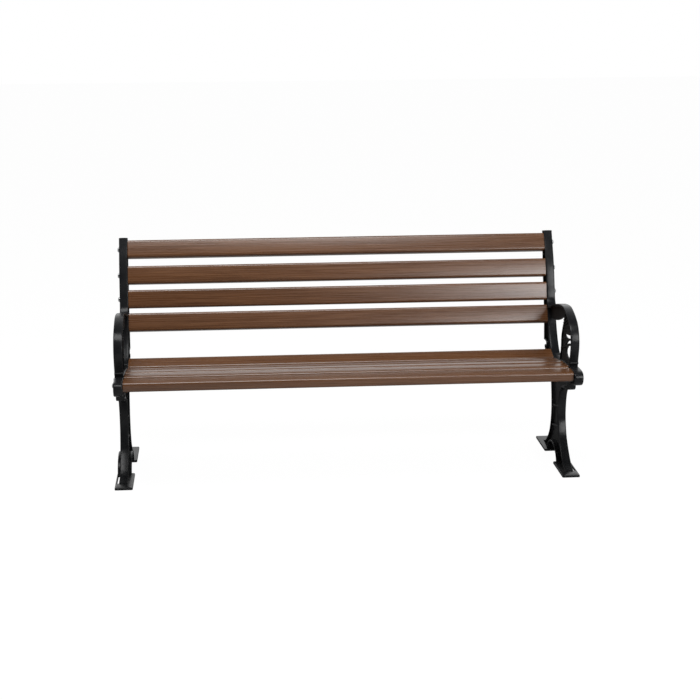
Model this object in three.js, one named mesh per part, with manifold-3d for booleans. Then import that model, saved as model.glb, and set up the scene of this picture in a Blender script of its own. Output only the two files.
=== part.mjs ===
// Garden bench: two cast end frames joined by four back slats and five seat slats.
// Millimetres. +X runs along the bench, -Y is the front, +Z is up, the floor is z = 0.

import * as THREE from 'three';
import { mergeVertices } from 'three/addons/utils/BufferGeometryUtils.js';
import Module from 'manifold-3d';

const wasm = await Module();
wasm.setup();

// ---- Driving dimensions -------------------------------------------------

const BENCH_LENGTH = 1570;      // over the flanges of the two end frames
const FLANGE_WIDTH = 30;        // of the flanges that edge each casting, along X
const FLANGE_THICKNESS = 7;
const WEB_THICKNESS = 7;        // of the plate between the flanges
const WEB_INSET = 2;            // of the plate's edge inside the flanges' outer faces
const FRAME_SHIFT_Y = 26.5;     // moves the side outline so that the box is centred on y = 0

const SLAT_WIDTH = 65;
const SLAT_THICKNESS = 31.5;
const SLAT_EDGE_RADIUS = 8;
const SLAT_RECESS = 1.5;        // of a slat's face below the frame's face line
const SLAT_PITCH = 88;          // of the seat slats, along the face line
const FRONT_SLAT_AT = 826;      // along the face line from the top, to a slat's middle
const SEAT_SLATS = 5;
const BACK_SLATS_AT = [39, 136.5, 224, 306];

const PLATE_THICKNESS = 8;      // of the foot plates
const PLATE_INNER_X = 737;
const PLATE_OUTER_X = 798;
const PLATE_CORNER_RADIUS = 5;
const FRONT_PLATE = [-265, -90.5];
const BACK_PLATE = [65, 243];
const ANCHOR_SLOT = { fromX: 787, toX: 792.5, fromY: -210, toY: -112 };

const ARCH_CENTRE_Y = -4;       // of the half ellipse between the front and the rear leg
const ARCH_HALF_SPAN = 90;
const ARCH_HEIGHT = 58;
const ARCH_BAND = [748, 797];
const ARCH_STEPS = 16;
const FOOT_LIFT = 3;            // of the web's lowest edge over the ground, inside the plates

const LEG_RIB_THICKNESS = 7;    // of the two ribs across each leg
const LEG_RIB_INSET_X = 3;      // of a rib's ends behind the flanges' edges
const LEG_RIBS = [[[-61, 197.5], [51, 175]], [[-69, 124.5], [58, 101]]];

const LEAF_RIM_HALF_WIDTH = 8;  // of the leaf's raised rim, along X
const VEIN_HALF_WIDTH = 9;
const VEIN_THICKNESS = 4;
const COLLAR = { radius: 5, y: -250, z: 402.7 };

const BOLT_RADIUS = 4;
const BOLT_HEAD_RADIUS = 9;
const BOLT_HEAD_HEIGHT = 5.6;
const BOLT_HEAD_RIM = 2.6;      // height of the head's straight side
const BOLT_HEAD_FLAT_RADIUS = 5.5;
const BOLT_LENGTH = 58;
const BOSS_RADIUS = 12;
const INSERT_RADIUS = 7;
const INSERT_LENGTH = 40;
const INSERT_FLOOR = 6;         // solid metal at an insert's blind end
const GAP = 0.3;                // between neighbouring pieces
const CUT_OVERRUN = 1;          // of a cutting tool past the face it opens
const ROUND_SEGMENTS = 12;
const CORNER_SEGMENTS = 4;
const FACE_STEPS = 46;          // straight runs that stand for each curved edge
const NOSE_STEPS = 7;
const SCROLL_STEPS = 5;
const LEG_FRONT_STEPS = 18;
const LEG_REAR_STEPS = 16;
const HOOK_STEPS = 9;
const BACK_STEPS = 10;
const ARMREST_STEPS = 30;
const LEAF_RIM_STEPS = 14;
const VEIN_STEPS = 6;

const outerX = BENCH_LENGTH / 2;
const innerX = outerX - FLANGE_WIDTH;
const webMiddleX = outerX - FLANGE_WIDTH / 2;
const slatEndX = innerX - GAP;

// ---- Materials ----------------------------------------------------------

const castMetal = () => new THREE.MeshStandardMaterial({ color: 0x1b1c1e, roughness: 0.42, metalness: 0.55 });
const slatWood = () => new THREE.MeshStandardMaterial({ color: 0x6f4a31, roughness: 0.5, metalness: 0 });
const zincSteel = () => new THREE.MeshStandardMaterial({ color: 0x8f9194, roughness: 0.35, metalness: 0.9 });

// ---- Side outline, as (y, z) points --------------------------------------

// The face line: the front of the back, the top of the seat and the nose.
const FACE_LINE = [
  [262, 780], [249, 752], [229, 714], [212, 678], [199, 645], [188, 606], [178, 566], [168, 533],
  [158, 505], [145, 474], [129, 443], [111, 415], [90, 390], [66, 371], [36, 362], [0, 364],
  [-40, 370], [-85, 377.5], [-130, 383.5], [-180, 388], [-235, 391], [-290, 392], [-322, 391],
  [-340, 384], [-346, 371],
];
// From the nose under the seat rail to the scroll's end.
const NOSE_LINE = [[-346, 371], [-341, 356], [-325, 344], [-300, 337], [-262, 332], [-232, 328]];
const SCROLL_LINE = [[-232, 328], [-224, 319], [-222, 309], [-213, 300], [-197, 296]];
// From the scroll down the front of the leg on to the front foot plate.
const LEG_FRONT_LINE = [
  [-197, 296], [-150, 291], [-112, 280], [-86, 261], [-72, 232], [-65, 200], [-64, 172],
  [-71, 138], [-92, 95], [-130, 57], [-172, 26], [-215, 9.5],
];
const BACK_LINE = [
  [293, 775], [284, 720], [276, 675], [262, 612], [250, 568], [236, 520], [224, 455], [217, 384],
];
const BACK_STUB = [[217, 384], [178, 384], [172, 377], [176, 369]];
const BACK_STUB_BAND = [[217, 384], [217, 391], [182, 391], [176, 377], [180, 384]];
const TOP_CAP = [[261, 781], [294, 776.3], [291.5, 767], [257, 771]];
const HOOK_LINE = [[176, 369], [197, 370], [203, 362], [196, 354], [165, 346], [128, 330], [95, 303]];
const LEG_REAR_LINE = [
  [95, 303], [72, 268], [60, 225], [54, 185], [54, 150], [63, 112], [83, 74], [112, 46], [150, 21], [190, 9],
];
// The armrest's outer face, from the upright round to the seat rail.
const ARMREST_LINE = [
  [186, 507], [129, 527], [82, 540], [30, 553], [-30, 565], [-82, 571.5], [-120, 572], [-154, 566],
  [-190, 555], [-224, 540], [-245, 523], [-258, 503], [-265, 480], [-265, 460], [-260, 438],
  [-253, 415], [-247, 384],
];
// Where the armrest's web runs on, hidden inside the seat rail and the upright.
const ARMREST_ROOT = [[-180, 380], [-40, 364], [60, 364], [120, 420]];
const LEAF_RIM_LINE = [
  [-112, 545], [-98, 517], [-79, 490], [-65, 464], [-61, 442], [-60, 421], [-53, 398], [-36, 366],
];
// The open space between the lower back, the armrest and the leaf.
const ARM_OPENING = [
  [158, 476], [90, 483], [28, 494], [-23, 508], [-62, 522], [-101, 534], [-97, 515], [-79, 490], [-65, 464],
  [-61, 442], [-60, 421], [-53, 398], [-39, 373], [0, 358], [62, 364], [104, 396], [140, 450],
];
const LEAF_OPENINGS = [
  [[-102, 469], [-104, 474], [-165, 481], [-246, 496], [-248, 485], [-165, 470], [-134, 466]],
  [[-122, 440], [-158, 461], [-252, 478], [-253, 466], [-160, 453], [-128, 436]],
  [[-134, 404], [-127, 423], [-160, 444], [-252, 458], [-250, 425], [-200, 402]],
];
const LEAF_VEINS = [
  [[-80, 484], [-150, 500], [-240, 519]],
  [[-86, 494], [-150, 511], [-226, 534]],
  [[-92, 504], [-150, 522], [-205, 545]],
  [[-97, 514], [-145, 531], [-183, 553]],
  [[-101, 524], [-135, 541], [-160, 560]],
  [[-66, 446], [-90, 455], [-117, 461]],
  [[-64, 417], [-92, 426], [-120, 431]],
];

const toVectors = (points) => points.map(([y, z]) => new THREE.Vector2(y, z));
const smooth = (points, count) => new THREE.SplineCurve(toVectors(points)).getSpacedPoints(count);

const faceCurve = new THREE.SplineCurve(toVectors(FACE_LINE));
faceCurve.arcLengthDivisions = 2000;
const faceLength = faceCurve.getLength();

// ---- Geometry helpers ---------------------------------------------------

// Turns a geometry into a manifold solid.
function solid(geometry) {
  const bare = geometry.index ? geometry.toNonIndexed() : geometry.clone();
  bare.deleteAttribute('normal');
  bare.deleteAttribute('uv');
  const merged = mergeVertices(bare, 1e-4);
  return new wasm.Manifold(new wasm.Mesh({
    numProp: 3,
    vertProperties: new Float32Array(merged.attributes.position.array),
    triVerts: new Uint32Array(merged.index.array),
  }));
}

// Turns a manifold solid back into a geometry.
function geometryOf(manifold) {
  const mesh = manifold.getMesh();
  const geometry = new THREE.BufferGeometry();
  geometry.setAttribute('position', new THREE.BufferAttribute(new Float32Array(mesh.vertProperties), 3));
  geometry.setIndex(new THREE.BufferAttribute(new Uint32Array(mesh.triVerts), 1));
  geometry.computeVertexNormals();
  return geometry;
}

const joined = (solids) => solids.reduce((sum, next) => sum.add(next));

// Extrudes a side outline (y, z) along X between two planes; side -1 mirrors it to the left.
function sideExtrusion(points, fromX, toX, side) {
  const depth = toX - fromX;
  const startX = side > 0 ? fromX : -toX;
  const geometry = new THREE.ExtrudeGeometry(new THREE.Shape(points), { depth, bevelEnabled: false });
  geometry.applyMatrix4(new THREE.Matrix4().set(0, 0, 1, startX, 1, 0, 0, 0, 0, 1, 0, 0, 0, 0, 0, 1));
  return solid(geometry);
}

// A path of points moved to its own left by a distance.
function movedLeft(path, distance) {
  return path.map((point, i) => {
    const before = path[Math.max(i - 1, 0)];
    const after = path[Math.min(i + 1, path.length - 1)];
    const along = after.clone().sub(before).normalize();
    return new THREE.Vector2(point.x - along.y * distance, point.y + along.x * distance);
  });
}

// A band of even thickness that lies to the left of a path of points.
const bandOutline = (path, thickness) => [...path, ...movedLeft(path, thickness).reverse()];

const flange = (path, side, thickness = FLANGE_THICKNESS, fromX = innerX, toX = outerX) =>
  sideExtrusion(bandOutline(path, thickness), fromX, toX, side);

const web = (points, side) => sideExtrusion(
  points, webMiddleX - WEB_THICKNESS / 2, webMiddleX + WEB_THICKNESS / 2, side,
);

// A round bar along X at (y, z).
function barAlongX(radius, fromX, toX, y, z, segments = ROUND_SEGMENTS) {
  const geometry = new THREE.CylinderGeometry(radius, radius, toX - fromX, segments);
  geometry.rotateZ(Math.PI / 2);
  geometry.translate((fromX + toX) / 2, y, z);
  return solid(geometry);
}

// ---- Slat places ---------------------------------------------------------

// Where a slat lies whose middle is a distance along the face line from the top:
// the middle of its section and the direction of its face, both in (y, z).
function slatPlace(distance) {
  const half = SLAT_WIDTH / 2;
  const start = faceCurve.getPointAt((distance - half) / faceLength);
  const end = faceCurve.getPointAt((distance + half) / faceLength);
  const along = end.clone().sub(start).normalize();
  const inward = new THREE.Vector2(-along.y, along.x);
  const face = start.clone().add(end).multiplyScalar(0.5);
  const middle = face.addScaledVector(inward, SLAT_RECESS + SLAT_THICKNESS / 2);
  return { middle, angle: Math.atan2(along.y, along.x) };
}

const seatSlatsAt = Array.from({ length: SEAT_SLATS }, (_, i) => FRONT_SLAT_AT - SLAT_PITCH * i);
const slats = [
  ...BACK_SLATS_AT.map((at, i) => ({ name: `back_slat_${i + 1}`, ...slatPlace(at) })),
  ...seatSlatsAt.map((at, i) => ({ name: `seat_slat_${i + 1}`, ...slatPlace(at) })),
];

// ---- End frame -----------------------------------------------------------

// Half of an ellipse over the floor, as points from the front to the rear.
function archCurve(halfSpan, height, liftZ = 0) {
  return Array.from({ length: ARCH_STEPS + 1 }, (_, i) => {
    const turn = Math.PI * (1 - i / ARCH_STEPS);
    return new THREE.Vector2(ARCH_CENTRE_Y + halfSpan * Math.cos(turn), liftZ + height * Math.sin(turn));
  });
}

// The face line, the nose, the scroll and the front of the leg as one line.
const frontLine = [
  ...smooth(FACE_LINE, FACE_STEPS),
  ...smooth(NOSE_LINE, NOSE_STEPS).slice(1),
  ...smooth(SCROLL_LINE, SCROLL_STEPS).slice(1),
  ...smooth(LEG_FRONT_LINE, LEG_FRONT_STEPS).slice(1),
];
const rearLegLine = smooth(LEG_REAR_LINE, LEG_REAR_STEPS);
const hookLine = smooth(HOOK_LINE, HOOK_STEPS);
const backLine = smooth(BACK_LINE, BACK_STEPS);
const armrestLine = smooth(ARMREST_LINE, ARMREST_STEPS);

const bodyOutline = movedLeft([
  ...frontLine,
  ...archCurve(ARCH_HALF_SPAN - 2 * WEB_INSET, ARCH_HEIGHT - 2 * WEB_INSET - FOOT_LIFT, FOOT_LIFT),
  ...rearLegLine.toReversed(),
  ...hookLine.toReversed().slice(1),
  ...toVectors(BACK_STUB).reverse().slice(1),
  ...backLine.toReversed().slice(1),
], WEB_INSET);

// A range of distances from the middle plane, put on one side of it.
const onSide = (side, near, far) => (side > 0 ? [near, far] : [-far, -near]);

function footPlate([fromY, toY], side) {
  const radius = PLATE_CORNER_RADIUS;
  const [fromX, toX] = onSide(side, PLATE_INNER_X, PLATE_OUTER_X);
  const shape = new THREE.Shape();
  shape.absarc(fromX + radius, fromY + radius, radius, Math.PI, Math.PI * 1.5);
  shape.absarc(toX - radius, fromY + radius, radius, Math.PI * 1.5, Math.PI * 2);
  shape.absarc(toX - radius, toY - radius, radius, 0, Math.PI / 2);
  shape.absarc(fromX + radius, toY - radius, radius, Math.PI / 2, Math.PI);
  const options = { depth: PLATE_THICKNESS, bevelEnabled: false, curveSegments: CORNER_SEGMENTS };
  return solid(new THREE.ExtrudeGeometry(shape, options));
}

function anchorSlot(side) {
  const { fromX, toX, fromY, toY } = ANCHOR_SLOT;
  const box = new THREE.BoxGeometry(toX - fromX, toY - fromY, 2 * (PLATE_THICKNESS + CUT_OVERRUN));
  box.translate(side * (fromX + toX) / 2, (fromY + toY) / 2, 0);
  return solid(box);
}

// The strap bent over the space between the two legs, wider than the flanges.
function archBand(side) {
  const outer = archCurve(ARCH_HALF_SPAN, ARCH_HEIGHT);
  const inner = archCurve(ARCH_HALF_SPAN - FLANGE_THICKNESS, ARCH_HEIGHT - FLANGE_THICKNESS);
  return sideExtrusion([...outer, ...inner.reverse()], ARCH_BAND[0], ARCH_BAND[1], side);
}

function legRibs(side) {
  const [fromX, toX] = [innerX + LEG_RIB_INSET_X, outerX - LEG_RIB_INSET_X];
  return LEG_RIBS.map((ends) => flange(toVectors(ends), side, LEG_RIB_THICKNESS, fromX, toX));
}

// The armrest: its flange, the pierced web below it, and the leaf's rim, veins and collar.
function armrest(side) {
  const plate = web([...movedLeft(armrestLine, WEB_INSET), ...toVectors(ARMREST_ROOT)], side);
  const openings = [ARM_OPENING, ...LEAF_OPENINGS].map(
    (outline) => sideExtrusion(toVectors(outline), innerX, outerX, side),
  );
  const raised = (path, thickness, halfWidth) => flange(
    path, side, thickness, webMiddleX - halfWidth, webMiddleX + halfWidth,
  );
  const veins = LEAF_VEINS.map(
    (points) => raised(smooth(points, VEIN_STEPS), VEIN_THICKNESS, VEIN_HALF_WIDTH),
  );
  const rimLine = smooth(LEAF_RIM_LINE, LEAF_RIM_STEPS).reverse();
  return [
    flange(armrestLine, side),
    plate.subtract(joined(openings)),
    raised(rimLine, FLANGE_THICKNESS, LEAF_RIM_HALF_WIDTH),
    barAlongX(COLLAR.radius, ...onSide(side, innerX, outerX), COLLAR.y, COLLAR.z),
    ...veins,
  ];
}

function endFrame(side) {
  const rearLine = [...hookLine, ...rearLegLine.slice(1)].reverse();
  const bosses = slats.map(({ middle }) => barAlongX(
    BOSS_RADIUS, ...onSide(side, innerX, outerX), middle.x, middle.y,
  ));
  const boltHoles = slats.map(({ middle }) => barAlongX(
    BOLT_RADIUS + GAP, ...onSide(side, innerX - CUT_OVERRUN, outerX + CUT_OVERRUN), middle.x, middle.y,
  ));
  const casting = joined([
    web(bodyOutline, side),
    flange(frontLine, side),
    flange(rearLine, side),
    flange(backLine.toReversed(), side),
    sideExtrusion(toVectors(TOP_CAP), innerX, outerX, side),
    sideExtrusion(toVectors(BACK_STUB_BAND), innerX, outerX, side),
    archBand(side),
    footPlate(FRONT_PLATE, side),
    footPlate(BACK_PLATE, side),
    ...armrest(side),
    ...legRibs(side),
    ...bosses,
  ]);
  return geometryOf(casting.subtract(joined([...boltHoles, anchorSlot(side)])));
}

// ---- Slats and fasteners ---------------------------------------------------

// A board of rounded section along X, with a blind hole in each end for its threaded insert.
function slat() {
  const [halfWidth, halfThickness, radius] = [SLAT_WIDTH / 2, SLAT_THICKNESS / 2, SLAT_EDGE_RADIUS];
  const shape = new THREE.Shape();
  shape.absarc(halfWidth - radius, halfThickness - radius, radius, 0, Math.PI / 2);
  shape.absarc(-halfWidth + radius, halfThickness - radius, radius, Math.PI / 2, Math.PI);
  shape.absarc(-halfWidth + radius, -halfThickness + radius, radius, Math.PI, Math.PI * 1.5);
  shape.absarc(halfWidth - radius, -halfThickness + radius, radius, Math.PI * 1.5, Math.PI * 2);
  const options = { depth: 2 * slatEndX, bevelEnabled: false, curveSegments: CORNER_SEGMENTS };
  const board = new THREE.ExtrudeGeometry(shape, options);
  board.applyMatrix4(new THREE.Matrix4().set(0, 0, 1, -slatEndX, 1, 0, 0, 0, 0, 1, 0, 0, 0, 0, 0, 1));
  const depth = INSERT_LENGTH + 2 * GAP;
  const bores = [-1, 1].map((side) => barAlongX(
    INSERT_RADIUS + GAP, ...onSide(side, slatEndX - depth, slatEndX + CUT_OVERRUN), 0, 0,
  ));
  return geometryOf(solid(board).subtract(joined(bores)));
}

// Lathe profiles as (radius, distance) pairs; the axis is turned to run along X.
function turned(profile) {
  const geometry = new THREE.LatheGeometry(toVectors(profile), ROUND_SEGMENTS);
  geometry.rotateZ(-Math.PI / 2);
  return geometryOf(solid(geometry));
}

// A round-headed bolt: the head's flat seat is at 0, the shank runs to -X.
const boltGeometry = () => turned([
  [0, -BOLT_LENGTH], [BOLT_RADIUS, -BOLT_LENGTH], [BOLT_RADIUS, 0], [BOLT_HEAD_RADIUS, 0],
  [BOLT_HEAD_RADIUS, BOLT_HEAD_RIM], [BOLT_HEAD_FLAT_RADIUS, BOLT_HEAD_HEIGHT], [0, BOLT_HEAD_HEIGHT],
]);

// A threaded insert: a sleeve whose mouth is at 0 and whose blind end is towards -X.
const insertGeometry = () => turned([
  [0, -INSERT_LENGTH], [INSERT_RADIUS, -INSERT_LENGTH], [INSERT_RADIUS, 0], [BOLT_RADIUS + GAP, 0],
  [BOLT_RADIUS + GAP, INSERT_FLOOR - INSERT_LENGTH], [0, INSERT_FLOOR - INSERT_LENGTH],
]);

// ---- Assembly ------------------------------------------------------------

const bench = new THREE.Group();
bench.name = 'garden_bench';
const assembly = new THREE.Group();
assembly.position.y = FRAME_SHIFT_Y;
bench.add(assembly);

function add(name, geometry, material, place = {}) {
  const mesh = new THREE.Mesh(geometry, material);
  mesh.name = name;
  mesh.position.set(place.x ?? 0, place.y ?? 0, place.z ?? 0);
  mesh.rotation.set(place.turnX ?? 0, 0, place.turnZ ?? 0);
  assembly.add(mesh);
}

for (const [word, side] of [['left', -1], ['right', 1]]) {
  add(`end_frame_${word}`, endFrame(side), castMetal());
  for (const { name, middle } of slats) {
    const place = { y: middle.x, z: middle.y, turnZ: side > 0 ? 0 : Math.PI };
    add(`bolt_${word}_${name}`, boltGeometry(), zincSteel(), { ...place, x: side * (outerX + GAP) });
    add(`insert_${word}_${name}`, insertGeometry(), zincSteel(), { ...place, x: side * slatEndX });
  }
}
for (const { name, middle, angle } of slats) {
  add(name, slat(), slatWood(), { y: middle.x, z: middle.y, turnX: angle });
}

export default bench;
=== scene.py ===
"""Garden bench: two satin black cast end frames, nine wood-look boards, bolts and inserts.

Lengths named with MM are millimetres in the bench's own frame and are turned into metres by
the functions that build meshes. +X runs along the bench, -Y is the front and +Z is up.
"""

import logging
import math
from dataclasses import dataclass, field
from enum import Enum

import bmesh
import bpy
import numpy as np
from mathutils import Matrix, Vector
from mathutils.geometry import delaunay_2d_cdt


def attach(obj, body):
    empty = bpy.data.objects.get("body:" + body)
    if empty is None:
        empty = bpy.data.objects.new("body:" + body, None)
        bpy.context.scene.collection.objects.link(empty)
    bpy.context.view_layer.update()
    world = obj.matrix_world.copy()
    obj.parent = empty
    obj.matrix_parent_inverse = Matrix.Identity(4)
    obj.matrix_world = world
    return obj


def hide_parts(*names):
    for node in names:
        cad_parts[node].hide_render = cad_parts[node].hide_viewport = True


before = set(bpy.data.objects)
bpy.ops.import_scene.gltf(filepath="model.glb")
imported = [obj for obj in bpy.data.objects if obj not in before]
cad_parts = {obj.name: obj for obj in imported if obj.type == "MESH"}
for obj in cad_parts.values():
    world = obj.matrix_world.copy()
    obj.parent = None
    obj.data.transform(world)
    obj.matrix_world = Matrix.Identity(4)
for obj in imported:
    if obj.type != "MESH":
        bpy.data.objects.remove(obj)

log = logging.getLogger("garden_bench")

BODY = "root"
MM = 0.001
SMOOTH_ANGLE = math.radians(38)
WELD_DISTANCE = 1e-6        # metres

# ---- Driving sizes, in millimetres -------------------------------------------

FRAME_SHIFT_Y = 26.5        # from the side outlines' own zero to the middle of the footprint
OUTER_X = 785.0             # outer edge of the castings' flanges
FLANGE_WIDTH = 30.0
FLANGE_THICKNESS = 7.0
WEB_THICKNESS = 7.0
WEB_INSET = 2.0             # of a web's edge inside the flanges' outer faces
FOOT_LIFT = 3.0             # of the main web's lowest edge over the ground, inside the plates
TOE_CUT = 14.0              # height at which the main web's toes are cut off, inside the flanges
FLANGE_LIFT = 2.0           # of the flanges' ends over the ground, inside the plates
LEAF_THICKNESS = 6.4        # of the armrest's web, which runs on inside the main web
LEAF_EDGE_ROUND = 1.4
LEAF_OPENING_CORNER = 24.0  # longest cut along a side at an opening's corners
ARM_OPENING_CORNER = 12.0
LEAF_RIM_WIDTH = 16.0
LEAF_RIM_ROUND = 3.0
LEAF_RIM_CROWN = 0.8
VEIN_WIDTH = 18.0
VEIN_THICKNESS = 3.6
VEIN_ROUND = 1.0
VEIN_CROWN = 0.2
CAST_ROUND = 1.9            # rounding of the casting's outer edges
ROOT_FILLET = 5.0           # between a flange and its web
ROOT_STEM = (0.4, 1.2)      # how far a root's end lies inside the web: across and along the web
WEB_EDGE_ROUND = 0.8

SLAT_WIDTH = 65.0
SLAT_THICKNESS = 31.5
SLAT_ROUND = 8.0
SLAT_RECESS = 1.5           # of a board's face below the frames' face line
SLAT_END_X = 754.7
SEAT_PITCH = 88.0
FRONT_SLAT_AT = 826.0       # along the face line from the top, to a board's middle
SEAT_SLATS = 5
BACK_SLATS_AT = (39.0, 136.5, 224.0, 306.0)

PLATE_THICKNESS = 8.0
PLATE_X = (737.0, 798.0)
PLATE_CORNER = 5.0
PLATE_ROUND = 1.5
FRONT_PLATE_Y = (-265.0, -90.5)
REAR_PLATE_Y = (65.0, 243.0)
ANCHOR_SLOT_X = (787.0, 792.5)
ANCHOR_SLOT_Y = (-210.0, -112.0)
ANCHOR_SLOT_CORNER = 2.6

ARCH_CENTRE_Y = -4.0
ARCH_HALF_SPAN = 90.0
ARCH_HEIGHT = 58.0
ARCH_X = (748.0, 797.0)
ARCH_ROUND = 1.6

LEG_RIB_INSET_X = 3.0       # of a rib's ends behind the flanges' edges
LEG_RIB_ROUND = 2.0

COLLAR_RADIUS = 5.0         # of the small round bar across the armrest's front end
COLLAR_CHAMFER = (0.8, 1.0)  # inwards and along the bar
COLLAR_AT = (-250.0, 402.7)

BOSS_RADIUS = 12.0
BOSS_CHAMFER = 1.2
BOSS_OUTER_EDGE = 0.4       # first step of the outer end's softer chamfer
BOLT_RADIUS = 4.0
BOLT_LENGTH = 58.0
BOLT_HEAD_RADIUS = 9.0
BOLT_HEAD_HEIGHT = 5.6
BOLT_HEAD_RIM = 1.2         # height of the head's straight side
BOLT_DOME_ANGLE = 62.0      # how far round the head's dome turns, in degrees
BOLT_EDGE_CHAMFER = 0.3
BOLT_TIP_CHAMFER = 0.8
HEX_KEY_RADIUS = 3.4        # to the flats of the bolt's hexagon socket
HEX_KEY_DEPTH = 3.2
HEX_KEY_CHAMFER = (0.25, 0.3)  # outwards and down
HEX_KEY_CONE = 0.6          # depth of the socket's pointed floor
HEAD_GAP = 0.3              # between a bolt's head and the casting
AXIS_RADIUS = 0.01          # of the ring that closes a turned piece on its axis

WEB_X = OUTER_X - FLANGE_WIDTH / 2

FLOOR_HALF = 20.0           # metres
FLOOR_DROP = 0.0005         # metres, of the floor's surface below zero

# ---- How finely curves are drawn -------------------------------------------------

SPLINE_SAMPLES = 48         # for each span of a spline, before it is spaced evenly
CORNER_SAMPLES = 12
SHORTEST_SIDE_SHARE = 0.46  # the most that a corner takes of a side's length
FACE_SAMPLES = 9            # across a flange's crowned face
RIM_QUARTER = 4             # points on each quarter circle of a plate's rim
OPENING_STEP = 2.5
ARM_OPENING_STEP = 3.0
VEIN_STEP = 3.0
ARCH_SAMPLES = 60
WEB_ARCH_SAMPLES = 40
BOARD_STATIONS = 32
COLLAR_SEGMENTS = 20
BOSS_SEGMENTS = 32
BOLT_SEGMENTS = 36

# ---- Side outlines, as (y, z) points in millimetres -----------------------------

FACE_LINE = (
    (262, 780), (249, 752), (229, 714), (212, 678), (199, 645), (188, 606), (178, 566), (168, 533),
    (158, 505), (145, 474), (129, 443), (111, 415), (90, 390), (66, 371), (36, 362), (0, 364),
    (-40, 370), (-85, 377.5), (-130, 383.5), (-180, 388), (-235, 391), (-290, 392), (-322, 391),
    (-340, 384), (-346, 371),
)
NOSE_LINE = ((-346, 371), (-341, 356), (-325, 344), (-300, 337), (-262, 332), (-232, 328))
SCROLL_LINE = ((-232, 328), (-224, 319), (-222, 309), (-213, 300), (-197, 296))
LEG_FRONT_LINE = (
    (-197, 296), (-150, 291), (-112, 280), (-86, 261), (-72, 232), (-65, 200), (-64, 172),
    (-71, 138), (-92, 95), (-130, 57), (-172, 26), (-215, 9.5),
)
BACK_LINE = (
    (293, 775), (284, 720), (276, 675), (262, 612), (250, 568), (236, 520), (224, 455), (217, 384),
)
BACK_STUB = ((217, 384), (178, 384), (172, 377), (176, 369))
HOOK_LINE = ((176, 369), (197, 370), (203, 362), (196, 354), (165, 346), (128, 330), (95, 303))
LEG_REAR_LINE = (
    (95, 303), (72, 268), (60, 225), (54, 185), (54, 150), (63, 112), (83, 74), (112, 46),
    (150, 21), (190, 9),
)
ARMREST_LINE = (
    (186, 507), (129, 527), (82, 540), (30, 553), (-30, 565), (-82, 571.5), (-120, 572),
    (-154, 566), (-190, 555), (-224, 540), (-245, 523), (-258, 503), (-265, 480), (-265, 460),
    (-260, 438), (-253, 415), (-247, 384),
)
# The rounded corner where the upright's face runs out on to the armrest.
ARMREST_ROOT_CURVE = ((183, 590), (177, 563), (169, 542), (152, 527), (128, 525), (96, 534))
# Where the armrest's web ends, hidden inside the seat rail and the upright.
ARMREST_WEB_END = (
    (-150, 374), (-60, 355), (0, 346), (70, 350), (114, 388), (150, 442), (168, 480),
)
LEAF_RIM_LINE = (
    (-36, 366), (-53, 398), (-60, 421), (-61, 442), (-65, 464), (-79, 490), (-98, 517), (-112, 545),
)
ARM_OPENING = (
    (158, 476), (90, 483), (28, 494), (-23, 508), (-62, 522), (-101, 534), (-97, 515), (-79, 490),
    (-65, 464), (-61, 442), (-60, 421), (-53, 398), (-39, 373), (0, 358), (62, 364), (104, 396),
    (140, 450),
)
LEAF_OPENINGS = (
    ((-102, 469), (-104, 474), (-165, 481), (-246, 496), (-248, 485), (-165, 470), (-134, 466)),
    ((-122, 440), (-158, 461), (-252, 478), (-253, 466), (-160, 453), (-128, 436)),
    ((-134, 404), (-127, 423), (-160, 444), (-252, 458), (-250, 425), (-200, 402)),
)
LEAF_VEINS = (
    ((-80, 484), (-150, 500), (-240, 519)),
    ((-86, 494), (-150, 511), (-226, 534)),
    ((-92, 504), (-150, 522), (-205, 545)),
    ((-97, 514), (-145, 531), (-183, 553)),
    ((-101, 524), (-135, 541), (-160, 560)),
    ((-66, 446), (-90, 455), (-117, 461)),
    ((-64, 417), (-92, 426), (-120, 431)),
)
LEG_RIBS = (((51, 175), (-61, 197.5)), ((58, 101), (-69, 124.5)))


class Side(Enum):
    """Which end of the bench a piece belongs to; the value is its sign along X."""

    LEFT = -1
    RIGHT = 1

    @property
    def word(self) -> str:
        """The side's name as the CAD nodes spell it."""
        return self.name.lower()


# ---- Lines -------------------------------------------------------------------------

def spline(points: tuple, step: float) -> np.ndarray:
    """Samples a smooth curve through points at even arc lengths.

    Each span is the cubic whose end slopes are half the chord of the neighbouring points.

    Args:
        points: The points that the curve passes through, in millimetres.
        step: The wanted distance between samples.

    Returns:
        An array of samples, one row each.
    """
    p = np.asarray(points, float)
    padded = np.vstack([p[:1], p, p[-1:]])
    slope = (padded[2:] - padded[:-2]) / 2
    t = np.linspace(0, 1, SPLINE_SAMPLES, endpoint=False)[None, :, None]
    a, b = p[:-1, None], p[1:, None]
    va, vb = slope[:-1, None], slope[1:, None]
    dense = (2 * a - 2 * b + va + vb) * t**3 + (3 * b - 3 * a - 2 * va - vb) * t**2 + va * t + a
    dense = np.vstack([dense.reshape(-1, 2), p[-1:]])
    return resample(dense, step)


def resample(path: np.ndarray, step: float) -> np.ndarray:
    """Spaces a path's points evenly.

    Args:
        path: The path's points, one row each.
        step: The wanted distance between points.

    Returns:
        The new points; the first and the last are the path's own ends.
    """
    run = np.concatenate([[0], np.cumsum(np.linalg.norm(np.diff(path, axis=0), axis=1))])
    at = np.linspace(0, run[-1], max(2, int(round(run[-1] / step)) + 1))
    return np.stack([np.interp(at, run, path[:, k]) for k in range(path.shape[1])], axis=1)


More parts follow.
